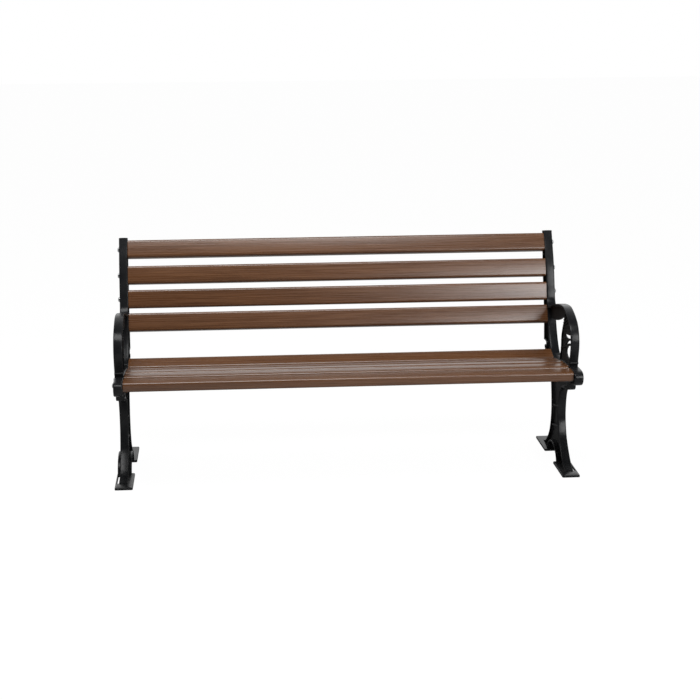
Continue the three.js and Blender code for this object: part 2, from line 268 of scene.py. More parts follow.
def rounded_loop(points: tuple, rounding: float, step: float) -> np.ndarray:
    """A closed loop of straight sides whose corners are parabolas.

    Each corner is cut back along both sides by the rounding, or by less than half of a short side.

    Args:
        points: The corners.
        rounding: The longest cut along a side.
        step: The distance between samples.

    Returns:
        The loop's samples; the first isn't repeated.
    """
    p = np.asarray(points, float)
    side = np.roll(p, -1, axis=0) - p
    length = np.linalg.norm(side, axis=1, keepdims=True)
    cut = np.minimum(rounding, SHORTEST_SIDE_SHARE * length)
    leave = p + side / length * cut
    arrive = p - np.roll(side / length * cut, 1, axis=0)
    t = np.linspace(0, 1, CORNER_SAMPLES)[None, :, None]
    corners = (1 - t) ** 2 * arrive[:, None] + 2 * t * (1 - t) * p[:, None] + t**2 * leave[:, None]
    loop = corners.reshape(-1, 2)
    return resample(np.vstack([loop, loop[:1]]), step)[:-1]


def left_of(path: np.ndarray, closed: bool = False) -> np.ndarray:
    """Finds which way is left at each point of a path.

    Args:
        path: The path's points.
        closed: Whether its last point joins its first.

    Returns:
        A unit vector for each point.
    """
    if closed:
        along = np.roll(path, -1, axis=0) - np.roll(path, 1, axis=0)
    else:
        along = np.gradient(path, axis=0)
    along /= np.linalg.norm(along, axis=1, keepdims=True)
    return np.stack([-along[:, 1], along[:, 0]], axis=1)


def arc(centre: tuple, radius: float, start: float, end: float, steps: int) -> np.ndarray:
    """Places points on a circular arc.

    Args:
        centre: The circle's middle.
        radius: Its radius.
        start: The first point's angle in degrees.
        end: The last point's angle in degrees.
        steps: How many straight runs the arc has.

    Returns:
        The points, one row each.
    """
    turn = np.radians(np.linspace(start, end, steps + 1))
    return np.stack([centre[0] + radius * np.cos(turn), centre[1] + radius * np.sin(turn)], axis=1)


def counter_clockwise(loop: np.ndarray) -> np.ndarray:
    """Turns a closed loop round if it needs it.

    Args:
        loop: The loop's points.

    Returns:
        The same points, running counter-clockwise.
    """
    x, y = loop[:, 0], loop[:, 1]
    area = np.sum(x * np.roll(y, -1) - y * np.roll(x, -1))
    return loop if area > 0 else loop[::-1]


# ---- Meshes ------------------------------------------------------------------------

class MeshParts:
    """Collects closed surfaces, in millimetres, that make up one piece."""

    def __init__(self) -> None:
        """Starts with no surface."""
        self.vertices: list[np.ndarray] = []
        self.faces: list[tuple] = []
        self.count = 0

    def add(self, vertices: np.ndarray, faces: list) -> None:
        """Adds one surface.

        Args:
            vertices: Its points, one row each.
            faces: Its faces as tuples of row numbers.
        """
        self.faces += [tuple(int(i) + self.count for i in face) for face in faces]
        self.vertices.append(np.asarray(vertices, float))
        self.count += len(vertices)

    def add_tube(self, rings: np.ndarray) -> None:
        """Adds a closed tube.

        Args:
            rings: An array (ring, point, 3); each ring is closed and both end rings are capped.
        """
        ring_count, size = rings.shape[:2]
        row, col = np.meshgrid(np.arange(ring_count - 1), np.arange(size), indexing="ij")
        nxt = (col + 1) % size
        quads = np.stack(
            [row * size + col, row * size + nxt, (row + 1) * size + nxt, (row + 1) * size + col], -1
        ).reshape(-1, 4)
        ends = [tuple(range(size - 1, -1, -1)), tuple((ring_count - 1) * size + np.arange(size))]
        self.add(rings.reshape(-1, 3), [*quads.tolist(), *ends])

    def build(self, name: str, mirror: bool = False) -> bpy.types.Object:
        """Makes the object, in metres, with its faces outwards.

        Args:
            name: The piece's name.
            mirror: Whether to mirror it to the other end of the bench.

        Returns:
            The new object, linked to the scene.
        """
        points = np.vstack(self.vertices) * MM
        points[:, 1] += FRAME_SHIFT_Y * MM
        if mirror:
            points[:, 0] *= -1
        mesh = bpy.data.meshes.new(name)
        mesh.from_pydata(points.tolist(), [], self.faces)
        work = bmesh.new()
        work.from_mesh(mesh)
        bmesh.ops.remove_doubles(work, verts=work.verts, dist=WELD_DISTANCE)
        bmesh.ops.recalc_face_normals(work, faces=work.faces)
        work.to_mesh(mesh)
        work.free()
        mesh.polygons.foreach_set("use_smooth", np.ones(len(mesh.polygons), bool))
        mesh.set_sharp_from_angle(angle=SMOOTH_ANGLE)
        piece = bpy.data.objects.new(name, mesh)
        bpy.context.scene.collection.objects.link(piece)
        return piece


def swept(path: np.ndarray, section: np.ndarray, middle_x: float) -> np.ndarray:
    """Rings of a section carried along a path in the side plane.

    A point (u, v) of the section lands at X = middle + u, and v to the left of the path.

    Args:
        path: The (y, z) path.
        section: The closed section's (u, v) points.
        middle_x: Where u is zero.

    Returns:
        An array (path point, section point, 3).
    """
    rings = np.empty((len(path), len(section), 3))
    rings[..., 0] = middle_x + section[None, :, 0]
    rings[..., 1:] = path[:, None] + left_of(path)[:, None] * section[None, :, 1:]
    return rings


def band_section(
    width: float, thickness: float, rounding: float, crown: float = 0.0, root: bool = False
) -> np.ndarray:
    """A band's section: a rounded rectangle from v = 0, its outer face, to v = thickness.

    Args:
        width: Along X.
        thickness: Across the face.
        rounding: The radius of the long edges.
        crown: How far the outer face's edges fall back behind its middle.
        root: Whether the inner side has the filleted root of the web.

    Returns:
        The closed section's (u, v) points.
    """
    half, stem = width / 2, WEB_THICKNESS / 2
    across = np.linspace(-half + rounding, half - rounding, FACE_SAMPLES)
    face = np.stack([across, crown * (across / half) ** 2], axis=1)
    corner = arc((half - rounding, rounding + crown), rounding, -90, 0, 4)
    inner = arc((half - rounding, thickness - rounding), rounding, 0, 90, 3)
    runs = [corner[1:], inner]
    if root:
        runs.append(arc((stem + ROOT_FILLET, thickness + ROOT_FILLET), ROOT_FILLET, -90, -180, 5))
        runs.append([[stem - ROOT_STEM[0], thickness + ROOT_FILLET + ROOT_STEM[1]]])
    right = np.vstack(runs)
    return np.vstack([face, right, right[::-1] * [-1, 1]])


def plate_rings(loop: np.ndarray, half: float, rounding: float) -> np.ndarray:
    """The rounded rim of a plate along one closed edge.

    The rim's profile is a quarter circle, a straight run and a quarter circle.

    Args:
        loop: The edge, with the plate's material on its left.
        half: Half of the plate's thickness.
        rounding: The radius of the quarter circles.

    Returns:
        An array (profile point, loop point, 3) of (across, along, through) positions.
    """
    turn = np.radians(np.linspace(90, 0, RIM_QUARTER))
    inset = rounding * (1 - np.cos(turn))
    through = half - rounding + rounding * np.sin(turn)
    inset = np.concatenate([inset, inset[::-1]])
    through = np.concatenate([through, -through[::-1]])
    moved = loop[None] + left_of(loop, closed=True)[None] * inset[:, None, None]
    depth = np.broadcast_to(through[:, None, None], (len(through), len(loop), 1))
    return np.concatenate([moved, depth], axis=2)


def inside(points: np.ndarray, loop: np.ndarray) -> np.ndarray:
    """Tells which points lie inside a closed loop, by counting crossings of a ray.

    Args:
        points: The points, one row each.
        loop: The loop's points.

    Returns:
        True or false for each point.
    """
    a, b = loop[None], np.roll(loop, -1, axis=0)[None]
    x, y = points[:, None, 0], points[:, None, 1]
    spans = (a[..., 1] > y) != (b[..., 1] > y)
    rise = np.where(b[..., 1] == a[..., 1], 1e-9, b[..., 1] - a[..., 1])
    cross = x < (b[..., 0] - a[..., 0]) * (y - a[..., 1]) / rise + a[..., 0]
    return np.sum(spans & cross, axis=1) % 2 == 1


def pierced_plate(outer: np.ndarray, holes: list, half: float, rounding: float) -> tuple:
    """A flat plate with rounded edges and holes.

    The two flat faces are triangulated between the edges' inner rings and the rims join them.

    Args:
        outer: The plate's edge.
        holes: The holes' edges.
        half: Half of the plate's thickness.
        rounding: The radius of the edges.

    Returns:
        Vertices as (across, along, through) rows, and faces.
    """
    loops = [counter_clockwise(outer), *[counter_clockwise(hole)[::-1] for hole in holes]]
    rims = [plate_rings(loop, half, rounding) for loop in loops]
    last = 2 * RIM_QUARTER - 1
    faces: list = []
    flat, edges, flat_rows = [], [], []
    start = 0
    for rim in rims:
        size = rim.shape[1]
        row, col = np.meshgrid(np.arange(last), np.arange(size), indexing="ij")
        nxt = (col + 1) % size
        below, above = row * size, (row + 1) * size
        quads = np.stack([below + col, below + nxt, above + nxt, above + col], -1)
        faces += (quads.reshape(-1, 4) + start).tolist()
        first = len(flat)
        flat += [Vector(p) for p in rim[0, :, :2]]
        edges += [(first + i, first + (i + 1) % size) for i in range(size)]
        flat_rows += [(start + i, start + last * size + i) for i in range(size)]
        start += rim.shape[0] * size
    made, _, triangles, origin, _, _ = delaunay_2d_cdt(flat, edges, [], 1, 1e-7)
    made = np.array([tuple(p) for p in made])
    triangles = np.array(triangles)
    middles = made[triangles].mean(axis=1)
    keep = inside(middles, rims[0][0, :, :2])
    for rim in rims[1:]:
        keep &= ~inside(middles, rim[0, :, :2])
    rows = np.array([flat_rows[ids[0]] for ids in origin])
    for triangle in triangles[keep]:
        faces.append(tuple(rows[triangle, 0]))
        faces.append(tuple(rows[triangle[::-1], 1]))
    return np.vstack([rim.reshape(-1, 3) for rim in rims]), faces


def add_plate(
    parts: MeshParts, outer: np.ndarray, holes: list, middle: float, half: float, rounding: float,
    level: bool = False,
) -> None:
    """Adds a plate that lies in a side plane or level.

    Args:
        parts: The piece that the plate belongs to.
        outer: Its edge, as (y, z) points, or as (x, y) points if it lies level.
        holes: Its holes' edges.
        middle: Where its middle lies along X, or along Z if it lies level.
        half: Half of its thickness.
        rounding: The radius of its edges.
        level: Whether it lies level.
    """
    points, faces = pierced_plate(outer, holes, half, rounding)
    points[:, 2] += middle
    parts.add(points if level else points[:, (2, 0, 1)], faces)


def turned_rings(profile: np.ndarray, segments: int, hexagon: np.ndarray | None = None) -> np.ndarray:
    """Rings of a profile turned about X.

    Args:
        profile: (radius, distance along X) points, from end to end.
        segments: How many points a ring has.
        hexagon: For each ring, how far it is a hexagon (1) and not a circle (0).

    Returns:
        An array (ring, point, 3) about the origin.
    """
    turn = np.linspace(0, 2 * np.pi, segments, endpoint=False)
    sector = (turn % (np.pi / 3)) - np.pi / 6
    share = np.zeros(len(profile)) if hexagon is None else hexagon
    stretch = 1 + share[:, None] * (1 / np.cos(sector)[None] - 1)
    radius = profile[:, :1] * stretch
    rings = np.empty((len(profile), segments, 3))
    rings[..., 0] = profile[:, 1:2]
    rings[..., 1] = radius * np.cos(turn)
    rings[..., 2] = radius * np.sin(turn)
    return rings


# ---- Finishes ----------------------------------------------------------------------

NOISE_RANGE = (0.3, 0.7)
SIDE_FACING = (0.55, 0.85)  # where a surface's normal goes from a flange's face to a flat side


@dataclass(frozen=True)
class Grain:
    """A noise pattern: how it is stretched, how fine it is, its octaves and their strength."""

    stretch: tuple
    detail: float
    rough: float
    scale: float = 1.0


class Nodes:
    """A short way to write a material's node tree."""

    def __init__(self, name: str) -> None:
        """Makes a new material with a Principled shader and an output.

        Args:
            name: The material's name.
        """
        self.material = bpy.data.materials.new(name)
        self.material.use_nodes = True
        self.tree = self.material.node_tree
        self.tree.nodes.clear()
        self.shader = self.node("ShaderNodeBsdfPrincipled")
        self.output = self.node("ShaderNodeOutputMaterial")
        self.link(self.shader.outputs[0], self.output.inputs["Surface"])

    def node(self, kind: str, **values: object) -> bpy.types.Node:
        """Adds a node.

        Args:
            kind: Its type.
            values: Its properties or input sockets by name, and what they are set to.

        Returns:
            The new node.
        """
        made = self.tree.nodes.new(kind)
        for key, value in values.items():
            if hasattr(made, key):
                setattr(made, key, value)
            else:
                made.inputs[key.replace("_", " ")].default_value = value
        return made

    def link(self, source: bpy.types.NodeSocket, target: bpy.types.NodeSocket) -> None:
        """Joins two sockets."""
        self.tree.links.new(source, target)

    def noise(self, grain: Grain, shift: tuple = (0, 0, 0)) -> bpy.types.NodeSocket:
        """Adds a noise pattern on object coordinates.

        Args:
            grain: The pattern.
            shift: How far it is moved.

        Returns:
            Its value, from about 0.3 to 0.7.
        """
        where = self.node("ShaderNodeTexCoord")
        mapping = self.node("ShaderNodeMapping", Scale=grain.stretch, Location=shift)
        made = self.node(
            "ShaderNodeTexNoise", Scale=grain.scale, Detail=grain.detail, Roughness=grain.rough
        )
        self.link(where.outputs["Object"], mapping.inputs["Vector"])
        self.link(mapping.outputs["Vector"], made.inputs["Vector"])
        return made.outputs["Fac"]

    def ramp(self, value: bpy.types.NodeSocket, stops: list) -> bpy.types.NodeSocket:
        """Turns a value into a colour.

        Args:
            value: The value.
            stops: (place, colour) pairs in rising order.

        Returns:
            The colour.
        """
        made = self.node("ShaderNodeValToRGB")
        elements = made.color_ramp.elements
        while len(elements) < len(stops):
            elements.new(0.5)
        for element, (place, colour) in zip(elements, stops):
            element.position = place
            element.color = (*colour, 1)
        self.link(value, made.inputs["Fac"])
        return made.outputs["Color"]

    def span(
        self, value: bpy.types.NodeSocket, low: float, high: float, to_low: float, to_high: float
    ) -> bpy.types.NodeSocket:
        """Maps a range of values on to another.

        Args:
            value: The value.
            low: Where its range starts.
            high: Where it ends.
            to_low: What the start becomes.
            to_high: What the end becomes.

        Returns:
            The mapped value.
        """
        made = self.node("ShaderNodeMapRange")
        limits = {"From Min": low, "From Max": high, "To Min": to_low, "To Max": to_high}
        for key, number in limits.items():
            made.inputs[key].default_value = number
        self.link(value, made.inputs["Value"])
        return made.outputs["Result"]

    def sideways(self) -> bpy.types.NodeSocket:
        """Returns how far a surface faces along X, from 0 to 1."""
        where = self.node("ShaderNodeTexCoord")
        split = self.node("ShaderNodeSeparateXYZ")
        self.link(where.outputs["Normal"], split.inputs[0])
        size = self.node("ShaderNodeMath", operation="ABSOLUTE")
        self.link(split.outputs["X"], size.inputs[0])
        return self.span(size.outputs[0], *SIDE_FACING, 0, 1)

    def between(
        self, share: bpy.types.NodeSocket, first: bpy.types.NodeSocket, second: float
    ) -> bpy.types.NodeSocket:
        """Goes from a pattern's value to a fixed one.

        Args:
            share: How far, from 0 to 1.
            first: The pattern's value.
            second: The fixed value.

        Returns:
            The value between them.
        """
        made = self.node("ShaderNodeMix", data_type="FLOAT")
        self.link(share, made.inputs[0])
        self.link(first, made.inputs[2])
        made.inputs[3].default_value = second
        return made.outputs[0]

    def multiply(
        self, share: float, first: bpy.types.NodeSocket, second: bpy.types.NodeSocket
    ) -> bpy.types.NodeSocket:
        """Darkens one colour by another.

        Args:
            share: How strongly, from 0 to 1.
            first: The colour.
            second: What it is multiplied by.

        Returns:
            The darkened colour.
        """
        made = self.node("ShaderNodeMix", data_type="RGBA", blend_type="MULTIPLY")
        made.inputs[0].default_value = share
        self.link(first, made.inputs[6])
        self.link(second, made.inputs[7])
        return made.outputs[2]

    def bump(
        self, height: bpy.types.NodeSocket, distance: float, strength: float, below: object = None
    ) -> bpy.types.NodeSocket:
        """Turns a height pattern into a normal.

        Args:
            height: The pattern.
            distance: Its depth in metres.
            strength: How strongly it shows, from 0 to 1.
            below: Another normal that it lies over.

        Returns:
            The normal.
        """
        made = self.node("ShaderNodeBump", Strength=strength, Distance=distance)
        self.link(height, made.inputs["Height"])
        if below is not None:
            self.link(below, made.inputs["Normal"])
        return made.outputs["Normal"]


@dataclass(frozen=True)
class PowderCoat:
    """Satin black powder coat over a sand casting: orange peel, soft waviness, a little dust.

    The flanges' faces are smooth; the flat sides between them keep the mould's dull sand grain.
    """

    name: str = "powder_coat_black"
    dark: tuple = (0.0085, 0.0088, 0.0098)
    worn: tuple = (0.014, 0.0145, 0.0155)
    roughness: tuple = (0.22, 0.30)
    side_roughness: float = 0.62
    face_gloss: float = 0.18
    side_gloss: float = 0.08
    patch_grain: Grain = Grain((1, 1, 1), 5, 0.6, 14)
    peel_grain: Grain = Grain((1, 1, 1), 3, 0.55, 620)
    sand_grain: Grain = Grain((1, 1, 1), 4, 0.6, 95)
    peel_depth: float = 0.00018
    sand_depth: float = 0.0006

    def material(self) -> bpy.types.Material:
        """Builds the node tree and returns the material."""
        n = Nodes(self.name)
        patches, peel = n.noise(self.patch_grain), n.noise(self.peel_grain)
        sand = n.noise(self.sand_grain)
        colour = n.ramp(patches, [(0.35, self.dark), (0.7, self.worn)])
        n.link(colour, n.shader.inputs["Base Color"])
        side = n.sideways()
        smooth = n.span(patches, *NOISE_RANGE, *self.roughness)
        n.link(n.between(side, smooth, self.side_roughness), n.shader.inputs["Roughness"])
        gloss = n.span(side, 0, 1, self.face_gloss, self.side_gloss)
        n.link(gloss, n.shader.inputs["Specular IOR Level"])
        wavy = n.bump(sand, self.sand_depth, 0.35)
        n.link(n.bump(peel, self.peel_depth, 0.5, wavy), n.shader.inputs["Normal"])
        return n.material


@dataclass(frozen=True)
class WoodLook:
    """A brown wood-look board: fine grain along its length, broad figure, satin."""

    number: int = 0
    light: tuple = (0.160, 0.070, 0.026)
    middle: tuple = (0.124, 0.050, 0.0175)
    dark: tuple = (0.088, 0.034, 0.0115)
    roughness: tuple = (0.24, 0.32)
    gloss: float = 0.7
    figure_grain: Grain = Grain((1.6, 40, 40), 4, 0.55)
    streak_grain: Grain = Grain((3.5, 330, 330), 6, 0.66)
    pore_grain: Grain = Grain((11, 900, 900), 3, 0.7)
    streak_depth: float = 0.00015
    pore_depth: float = 0.00005
    shift: tuple = (1.73, 0.61, 0.37)

    def material(self) -> bpy.types.Material:
        """Builds the node tree and returns the material; the number shifts the figure."""
        n = Nodes(f"slat_wood_{self.number}")
        shift = tuple(self.number * step for step in self.shift)
        figure, streaks = n.noise(self.figure_grain, shift), n.noise(self.streak_grain, shift)
        pores = n.noise(self.pore_grain, shift)
        base = n.ramp(streaks, [(0.36, self.dark), (0.5, self.middle), (0.66, self.light)])
        tint = n.ramp(figure, [(0.3, (0.86, 0.84, 0.82)), (0.7, (1.10, 1.09, 1.08))])
        coloured = n.multiply(1.0, base, tint)
        fleck = n.ramp(pores, [(0.42, (0.55, 0.5, 0.48)), (0.52, (1, 1, 1))])
        n.link(n.multiply(0.4, coloured, fleck), n.shader.inputs["Base Color"])
        n.link(n.span(streaks, *NOISE_RANGE, *self.roughness), n.shader.inputs["Roughness"])
        n.shader.inputs["Specular IOR Level"].default_value = self.gloss
        ridged = n.bump(streaks, self.streak_depth, 0.35)
        n.link(n.bump(pores, self.pore_depth, 0.5, ridged), n.shader.inputs["Normal"])
        return n.material


@dataclass(frozen=True)
class PlatedSteel:
    """Bright plated steel with fine turning marks and slightly uneven gloss."""

    name: str = "plated_steel"
    colour: tuple = (0.56, 0.565, 0.575)
    roughness: tuple = (0.24, 0.36)
    mark_grain: Grain = Grain((900, 160, 160), 3, 0.6)
    cloud_grain: Grain = Grain((1, 1, 1), 3, 0.5, 180)
    mark_depth: float = 0.00004

    def material(self) -> bpy.types.Material:
        """Builds the node tree and returns the material."""
        n = Nodes(self.name)
        marks, cloud = n.noise(self.mark_grain), n.noise(self.cloud_grain)
        colour = n.ramp(cloud, [(0.3, tuple(0.8 * c for c in self.colour)), (0.7, self.colour)])
        n.link(colour, n.shader.inputs["Base Color"])
        n.shader.inputs["Metallic"].default_value = 1.0
        n.link(n.span(cloud, *NOISE_RANGE, *self.roughness), n.shader.inputs["Roughness"])
        n.link(n.bump(marks, self.mark_depth, 0.4), n.shader.inputs["Normal"])
        return n.material


# ---- Sub-assemblies ------------------------------------------------------------------

@dataclass
class SlatPlaces:
    """Where each board lies: the middle of its section and its face's direction."""

    line: np.ndarray = field(default_factory=lambda: spline(FACE_LINE, 0.5))

    def at(self, distance: float) -> tuple:
        """Finds one board's place.

        Args:
            distance: From the face line's top to the board's middle, along the line.

        Returns:
            The middle of the board's section as (y, z), and the face's unit direction.
        """
        run = np.concatenate([[0], np.cumsum(np.linalg.norm(np.diff(self.line, axis=0), axis=1))])
        ends = [distance - SLAT_WIDTH / 2, distance + SLAT_WIDTH / 2]
        start, end = np.stack([np.interp(ends, run, self.line[:, k]) for k in (0, 1)], axis=1)
        along = (end - start) / np.linalg.norm(end - start)
        inward = np.array([-along[1], along[0]])
        return (start + end) / 2 + inward * (SLAT_RECESS + SLAT_THICKNESS / 2), along

    def all(self) -> dict:
        """Returns every board's place by its CAD node's name."""
        places = {f"back_slat_{i + 1}": self.at(at) for i, at in enumerate(BACK_SLATS_AT)}
        for i in range(SEAT_SLATS):
            places[f"seat_slat_{i + 1}"] = self.at(FRONT_SLAT_AT - SEAT_PITCH * i)
        return places


@dataclass
class EndFrame:
    """One casting: upright, seat rail, leg, arch, foot plates, armrest and leaf."""

    side: Side
    places: dict
    step: float = 3.5
    crown: float = 0.5

    def build(self) -> bpy.types.Object:
        """Makes the casting's mesh and returns its object."""
        parts = MeshParts()
        self.add_flanges(parts)
        self.add_webs(parts)
        self.add_leaf(parts)
        self.add_leg(parts)
        self.add_feet(parts)
        self.add_bosses(parts)
        return parts.build(f"casting_{self.side.word}", mirror=self.side is Side.LEFT)

    def line(self, *outlines: tuple) -> np.ndarray:
        """Joins outlines into one evenly spaced path.

        Args:
            outlines: The outlines in order; each is smooth in itself.

        Returns:
            The path's (y, z) points.
        """
        curves = [spline(outline, self.step / 4) for outline in outlines]
        return resample(np.vstack([curves[0], *[c[1:] for c in curves[1:]]]), self.step)

    def add_flanges(self, parts: MeshParts) -> None:
        """Adds the bands that edge the casting; those along the web carry its filleted root."""
        tee, bar = (
            band_section(FLANGE_WIDTH, FLANGE_THICKNESS, CAST_ROUND, self.crown, root)
            for root in (True, False)
        )
        front = self.line(FACE_LINE, NOSE_LINE, SCROLL_LINE, LEG_FRONT_LINE)
        rear = self.line(HOOK_LINE[-3:], LEG_REAR_LINE)[::-1]
        back = self.line(BACK_LINE)[::-1]
        armrest = self.line(ARMREST_LINE)
        root = self.line(ARMREST_ROOT_CURVE)
        hook = self.line(HOOK_LINE[:-2])[::-1]
        stub = resample(np.array(BACK_STUB, float), self.step)[::-1]
        top = resample(np.array([BACK_LINE[0], FACE_LINE[0]], float) + [0, 1], self.step)
        for path, section in (
            (front, tee), (rear, tee), (back, tee), (armrest, tee),
            (root, bar), (hook, bar), (stub, bar), (top, bar),
        ):
            rings = swept(path, section, WEB_X)
            rings[..., 2] = np.maximum(rings[..., 2], FLANGE_LIFT)
            parts.add_tube(rings)

    def body_outline(self) -> np.ndarray:
        """Returns the edge of the main web, just inside the flanges' outer faces."""
        turn = np.linspace(math.pi, 0, WEB_ARCH_SAMPLES)
        half_span, height = ARCH_HALF_SPAN - 2 * WEB_INSET, ARCH_HEIGHT - 2 * WEB_INSET - FOOT_LIFT
        arch = np.stack([half_span * np.cos(turn), height * np.sin(turn)], axis=1)
        arch += [ARCH_CENTRE_Y, FOOT_LIFT]
        front = self.line(FACE_LINE, NOSE_LINE, SCROLL_LINE, LEG_FRONT_LINE)
        rear = self.line(HOOK_LINE, LEG_REAR_LINE)[::-1]
        back = self.line(BACK_LINE)[::-1]
        stub = resample(np.array(BACK_STUB, float), self.step)[::-1]
        front, rear = (path[path[:, 1] >= TOE_CUT] for path in (front, rear))
        upright = np.vstack([stub, back[1:]])
        runs = [run + left_of(run) * WEB_INSET for run in (front, arch, rear[:-1], upright)]
        toe, heel = ([[y, FOOT_LIFT]] for y in (runs[0][-1, 0], runs[2][0, 0]))
        return np.vstack([runs[0], toe, runs[1], heel, runs[2], runs[3]])

    def add_webs(self, parts: MeshParts) -> None:
        """Adds the plate between the flanges."""
        half = WEB_THICKNESS / 2
        add_plate(parts, self.body_outline(), [], WEB_X, half, WEB_EDGE_ROUND)

    def add_leaf(self, parts: MeshParts) -> None:
        """Adds the armrest's pierced web, the leaf's rim and its veins."""
        half = LEAF_THICKNESS / 2
        armrest = self.line(ARMREST_LINE)
        outer = np.vstack([armrest + left_of(armrest) * WEB_INSET, np.array(ARMREST_WEB_END, float)])
        holes = [rounded_loop(ARM_OPENING, ARM_OPENING_CORNER, ARM_OPENING_STEP)]
        holes += [rounded_loop(hole, LEAF_OPENING_CORNER, OPENING_STEP) for hole in LEAF_OPENINGS]
        add_plate(parts, outer, holes, WEB_X, half, LEAF_EDGE_ROUND)
        rim = band_section(LEAF_RIM_WIDTH, FLANGE_THICKNESS, LEAF_RIM_ROUND, LEAF_RIM_CROWN)
        parts.add_tube(swept(self.line(LEAF_RIM_LINE), rim, WEB_X))
        vein = band_section(VEIN_WIDTH, VEIN_THICKNESS, VEIN_ROUND, VEIN_CROWN)
        for line in LEAF_VEINS:
            parts.add_tube(swept(spline(line, VEIN_STEP), vein, WEB_X))
        end, (inwards, along) = FLANGE_WIDTH / 2, COLLAR_CHAMFER
        profile = np.array([
            [COLLAR_RADIUS - inwards, -end], [COLLAR_RADIUS, -end + along],
            [COLLAR_RADIUS, end - along], [COLLAR_RADIUS - inwards, end],
        ])
        parts.add_tube(turned_rings(profile, COLLAR_SEGMENTS) + [WEB_X, *COLLAR_AT])

    def add_leg(self, parts: MeshParts) -> None:
        """Adds the ribs across the leg and the strap over the arch."""
        rib = band_section(FLANGE_WIDTH - 2 * LEG_RIB_INSET_X, FLANGE_THICKNESS, LEG_RIB_ROUND)
        for ends in LEG_RIBS:
            path = resample(np.array(ends, float), self.step)
            parts.add_tube(swept(path, rib - [0, FLANGE_THICKNESS], WEB_X))
        turn = np.linspace(0, math.pi, ARCH_SAMPLES)
        arch = np.stack(
            [ARCH_CENTRE_Y + ARCH_HALF_SPAN * np.cos(turn), ARCH_HEIGHT * np.sin(turn)], axis=1
        )
        strap = band_section(ARCH_X[1] - ARCH_X[0], FLANGE_THICKNESS, ARCH_ROUND)
        parts.add_tube(swept(resample(arch, self.step), strap, sum(ARCH_X) / 2))

    def add_feet(self, parts: MeshParts) -> None:
        """Adds the two foot plates; the front one has a slot for a ground anchor."""
        half = PLATE_THICKNESS / 2
        slot = self.rectangle(ANCHOR_SLOT_X, ANCHOR_SLOT_Y, ANCHOR_SLOT_CORNER)
        for span_y, slots in ((FRONT_PLATE_Y, [slot]), (REAR_PLATE_Y, [])):
            plate = self.rectangle(PLATE_X, span_y, PLATE_CORNER)
            add_plate(parts, plate, slots, half, half, PLATE_ROUND, level=True)

    @staticmethod
    def rectangle(span_x: tuple, span_y: tuple, rounding: float) -> np.ndarray:
        """A rectangle with rounded corners.

        Args:
            span_x: From where to where it runs along X.
            span_y: The same along Y.
            rounding: The radius of its corners.

        Returns:
            The closed loop's (x, y) points.
        """
        (x0, x1), (y0, y1), r = span_x, span_y, rounding
        return np.vstack([
            arc((x1 - r, y1 - r), r, 0, 90, 6), arc((x0 + r, y1 - r), r, 90, 180, 6),
            arc((x0 + r, y0 + r), r, 180, 270, 6), arc((x1 - r, y0 + r), r, 270, 360, 6),
        ])

    def add_bosses(self, parts: MeshParts) -> None:
        """Adds the round boss that each bolt goes through."""
        half = FLANGE_WIDTH / 2
        profile = np.array([
            [BOSS_RADIUS - BOSS_CHAMFER, -half], [BOSS_RADIUS, -half + BOSS_CHAMFER],
            [BOSS_RADIUS, half - BOSS_CHAMFER],
            [BOSS_RADIUS - BOSS_OUTER_EDGE, half - BOSS_OUTER_EDGE],
            [BOSS_RADIUS - BOSS_CHAMFER, half],
        ])
        for middle, _ in self.places.values():
            parts.add_tube(turned_rings(profile, BOSS_SEGMENTS) + [WEB_X, *middle])


@dataclass
class Board:
    """One board of the seat or the back, with rounded long edges and eased ends."""

    node: str
    middle: np.ndarray
    along: np.ndarray
    ease: float = 0.8

    def build(self) -> bpy.types.Object:
        """Makes the board's mesh: its rounded section carried from end to end along X."""
        half_w, half_t, r = SLAT_WIDTH / 2, SLAT_THICKNESS / 2, SLAT_ROUND
        corners = [(1, 1, 0), (-1, 1, 90), (-1, -1, 180), (1, -1, 270)]
        section = np.vstack([
            arc((u * (half_w - r), v * (half_t - r)), r, start, start + 90, 8) for u, v, start in corners
        ])
        inner = np.linspace(SLAT_END_X - self.ease, -SLAT_END_X + self.ease, BOARD_STATIONS)
        stations = np.concatenate([[SLAT_END_X], inner, [-SLAT_END_X]])
        inset = np.zeros(len(stations))
        inset[[0, -1]] = self.ease
        eased = section[None] - inset[:, None, None] * np.sign(section)[None]
        through = np.array([-self.along[1], self.along[0]])
        rings = np.empty((len(stations), len(section), 3))
        rings[..., 0] = stations[:, None]
        rings[..., 1:] = self.middle + eased[..., :1] * self.along + eased[..., 1:] * through
        parts = MeshParts()
        parts.add_tube(rings)
        return parts.build(f"board_{self.node}")


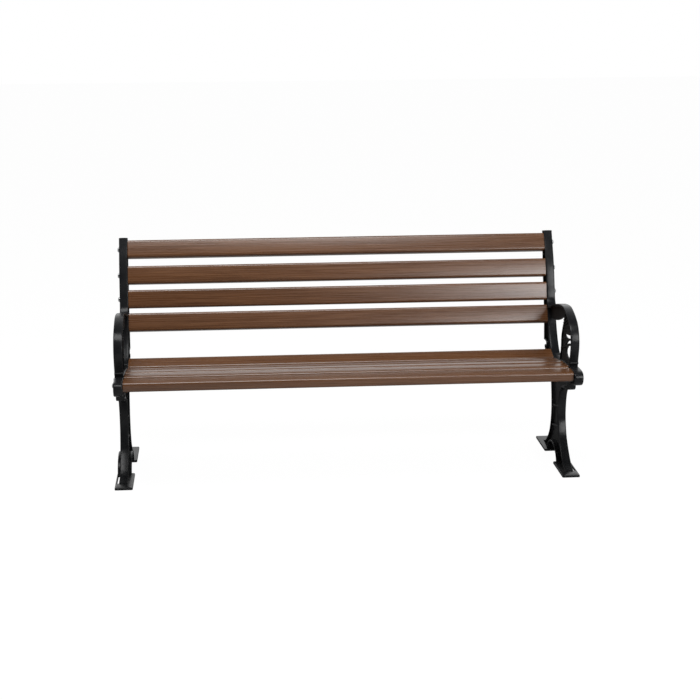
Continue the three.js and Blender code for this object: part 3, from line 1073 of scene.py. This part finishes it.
@dataclass
class Bolt:
    """A domed bolt with a hexagon socket, through the casting into a board's insert."""

    side: Side
    node: str
    middle: np.ndarray

    def build(self) -> bpy.types.Object:
        """Makes the bolt's mesh: a turned profile whose socket is a hexagon."""
        dome = arc((0, 0), 1, 0, BOLT_DOME_ANGLE, 7)
        rise = (BOLT_HEAD_HEIGHT - BOLT_HEAD_RIM) * dome[:, 1] / dome[-1, 1]
        head = np.stack([BOLT_HEAD_RADIUS * dome[:, 0], BOLT_HEAD_RIM + rise], axis=1)
        before = np.array([
            [AXIS_RADIUS, -BOLT_LENGTH], [BOLT_RADIUS - BOLT_TIP_CHAMFER, -BOLT_LENGTH],
            [BOLT_RADIUS, -BOLT_LENGTH + BOLT_TIP_CHAMFER], [BOLT_RADIUS, 0],
            [BOLT_HEAD_RADIUS - BOLT_EDGE_CHAMFER, 0], [BOLT_HEAD_RADIUS, BOLT_EDGE_CHAMFER],
        ])
        outwards, down = HEX_KEY_CHAMFER
        floor = BOLT_HEAD_HEIGHT - HEX_KEY_DEPTH
        socket = np.array([
            [HEX_KEY_RADIUS + outwards, BOLT_HEAD_HEIGHT], [HEX_KEY_RADIUS, BOLT_HEAD_HEIGHT - down],
            [HEX_KEY_RADIUS, floor], [AXIS_RADIUS, floor - HEX_KEY_CONE],
        ])
        profile = np.vstack([before, head, socket])
        hexagon = np.concatenate([np.zeros(len(before) + len(head)), [1, 1, 1, 0]])
        parts = MeshParts()
        place = [OUTER_X + HEAD_GAP, *self.middle]
        parts.add_tube(turned_rings(profile, BOLT_SEGMENTS, hexagon) + place)
        return parts.build(f"bolt_head_{self.side.word}_{self.node}", mirror=self.side is Side.LEFT)


# ---- Stage ---------------------------------------------------------------------------

@dataclass(frozen=True)
class StudioCamera:
    """The camera in front of the bench, a little left of its middle, looking slightly down."""

    place: tuple = (-0.4086, -5.7883, 1.7414)
    pitch: float = -12.870
    yaw: float = -4.254
    roll: float = 0.371
    focal: float = 87.43
    sensor: float = 36.0

    def build(self) -> None:
        """Makes the camera and sets it as the scene's own."""
        turn = (
            Matrix.Rotation(math.radians(self.yaw), 3, "Z")
            @ Matrix.Rotation(math.radians(self.pitch), 3, "X")
            @ Matrix.Rotation(math.radians(self.roll), 3, "Y")
        )
        right, forward, up = turn.col
        world = Matrix((right, up, -forward)).transposed().to_4x4()
        world.translation = Vector(self.place)
        data = bpy.data.cameras.new("camera")
        data.sensor_width, data.lens = self.sensor, self.focal
        camera = bpy.data.objects.new("camera", data)
        camera.matrix_world = world
        bpy.context.scene.collection.objects.link(camera)
        bpy.context.scene.camera = camera


@dataclass(frozen=True)
class SoftLight:
    """A rectangular soft light that faces a target; lengths in metres, power in watts."""

    name: str
    place: tuple
    target: tuple
    size: tuple
    power: float

    def build(self) -> None:
        """Makes the light."""
        data = bpy.data.lights.new(self.name, "AREA")
        data.shape = "RECTANGLE"
        data.size, data.size_y = self.size
        data.energy = self.power
        lamp = bpy.data.objects.new(self.name, data)
        lamp.location = self.place
        aim = Vector(self.target) - Vector(self.place)
        lamp.rotation_euler = aim.to_track_quat("-Z", "Y").to_euler()
        bpy.context.scene.collection.objects.link(lamp)


@dataclass(frozen=True)
class Studio:
    """A pale floor, a bright low wall behind the bench and two soft lights, above and at the right."""

    rear_level: float = 1.0
    front_level: float = 0.05
    floor_colour: tuple = (0.5, 0.5, 0.5)
    floor_glow: float = 1.08
    floor_glow_share: float = 0.9
    wall_depth: tuple = (0.0, 0.5)  # the wall fades in between these directions' Y
    wall_height: tuple = (0.85, 0.45)  # and fades out upwards between these directions' Z
    lights: tuple = (
        SoftLight("top_light", (-0.5, -1.0, 3.8), (-0.1, 0, 0.5), (3.0, 1.6), 118.0),
        SoftLight("right_light", (2.2, -3.9, 2.15), (0.5, 0, 0.5), (1.7, 1.7), 100.0),
    )

    def build(self) -> None:
        """Makes the floor, the world and the lights."""
        self.floor()
        self.world()
        for light in self.lights:
            light.build()
        bpy.context.scene.view_settings.view_transform = "Standard"

    def floor(self) -> None:
        """Makes the pale floor, which stays close to white where the bench shades it."""
        n = Nodes("floor_white")
        n.shader.inputs["Base Color"].default_value = (*self.floor_colour, 1)
        n.shader.inputs["Roughness"].default_value = 0.9
        n.shader.inputs["Specular IOR Level"].default_value = 0.1
        glow = n.node("ShaderNodeEmission")
        glow.inputs["Strength"].default_value = self.floor_glow
        path = n.node("ShaderNodeLightPath")
        mix = n.node("ShaderNodeMixShader")
        share = n.span(path.outputs["Is Camera Ray"], 0, 1, 0.0, self.floor_glow_share)
        n.link(share, mix.inputs[0])
        n.link(n.shader.outputs[0], mix.inputs[1])
        n.link(glow.outputs[0], mix.inputs[2])
        n.link(mix.outputs[0], n.output.inputs["Surface"])
        mesh = bpy.data.meshes.new("floor")
        corners = [
            (x * FLOOR_HALF, y * FLOOR_HALF, -FLOOR_DROP) for x, y in ((-1, -1), (1, -1), (1, 1), (-1, 1))
        ]
        mesh.from_pydata(corners, [], [(0, 1, 2, 3)])
        mesh.materials.append(n.material)
        floor = bpy.data.objects.new("floor", mesh)
        bpy.context.scene.collection.objects.link(floor)

    def world(self) -> None:
        """Makes the surroundings: white to the eye, but lit mostly by a low wall behind the bench."""
        world = bpy.data.worlds.new("studio")
        bpy.context.scene.world = world
        world.use_nodes = True
        nodes, links = world.node_tree.nodes, world.node_tree.links
        nodes.clear()
        where = nodes.new("ShaderNodeTexCoord")
        split = nodes.new("ShaderNodeSeparateXYZ")
        behind, low = (nodes.new("ShaderNodeMapRange") for _ in range(2))
        for ramp, (start, end) in ((behind, self.wall_depth), (low, self.wall_height)):
            ramp.interpolation_type = "SMOOTHSTEP"
            ramp.inputs["From Min"].default_value = start
            ramp.inputs["From Max"].default_value = end
        wall = nodes.new("ShaderNodeMath")
        wall.operation = "MULTIPLY"
        level = nodes.new("ShaderNodeMapRange")
        level.inputs["To Min"].default_value = self.front_level
        level.inputs["To Max"].default_value = self.rear_level
        seen = nodes.new("ShaderNodeBackground")
        lit = nodes.new("ShaderNodeBackground")
        path = nodes.new("ShaderNodeLightPath")
        mix = nodes.new("ShaderNodeMixShader")
        output = nodes.new("ShaderNodeOutputWorld")
        seen.inputs["Color"].default_value = (1, 1, 1, 1)
        lit.inputs["Color"].default_value = (1, 1, 1, 1)
        for source, target in (
            (where.outputs["Generated"], split.inputs[0]),
            (split.outputs["Y"], behind.inputs["Value"]),
            (split.outputs["Z"], low.inputs["Value"]),
            (behind.outputs["Result"], wall.inputs[0]),
            (low.outputs["Result"], wall.inputs[1]),
            (wall.outputs[0], level.inputs["Value"]),
            (level.outputs["Result"], lit.inputs["Strength"]),
            (path.outputs["Is Camera Ray"], mix.inputs[0]),
            (lit.outputs[0], mix.inputs[1]),
            (seen.outputs[0], mix.inputs[2]),
            (mix.outputs[0], output.inputs[0]),
        ):
            links.new(source, target)


# ---- The bench -----------------------------------------------------------------------

def dress(piece: bpy.types.Object, material: bpy.types.Material, slot: str, *nodes: str) -> None:
    """Gives a piece its material and its body, and hides the CAD nodes it stands for.

    Args:
        piece: The piece.
        material: Its material.
        slot: The record's material slot; not used.
        nodes: The CAD nodes that it replaces.
    """
    piece.data.materials.clear()
    piece.data.materials.append(material)
    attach(piece, BODY)
    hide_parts(*nodes)
    log.info("%s: %d faces, for %s", piece.name, len(piece.data.polygons), ", ".join(nodes))


def main() -> None:
    """Builds the camera and the stage, then the bench piece by piece, logging each piece's face count."""
    logging.basicConfig(level=logging.INFO, format="%(name)s %(message)s")
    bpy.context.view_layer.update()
    StudioCamera().build()
    Studio().build()
    places = SlatPlaces().all()
    powder, steel = PowderCoat().material(), PlatedSteel().material()
    for side in Side:
        dress(EndFrame(side, places).build(), powder, "cast_metal", f"end_frame_{side.word}")
        for name, (middle, _) in places.items():
            bolt = Bolt(side, name, middle).build()
            dress(bolt, steel, "bolt_steel", f"bolt_{side.word}_{name}")
    for number, (name, (middle, along)) in enumerate(places.items()):
        dress(Board(name, middle, along).build(), WoodLook(number).material(), "slat_wood", name)
    for name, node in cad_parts.items():
        if name.startswith("insert_"):
            node.data.materials.clear()
            node.data.materials.append(steel)


if __name__ == "__main__":
    main()
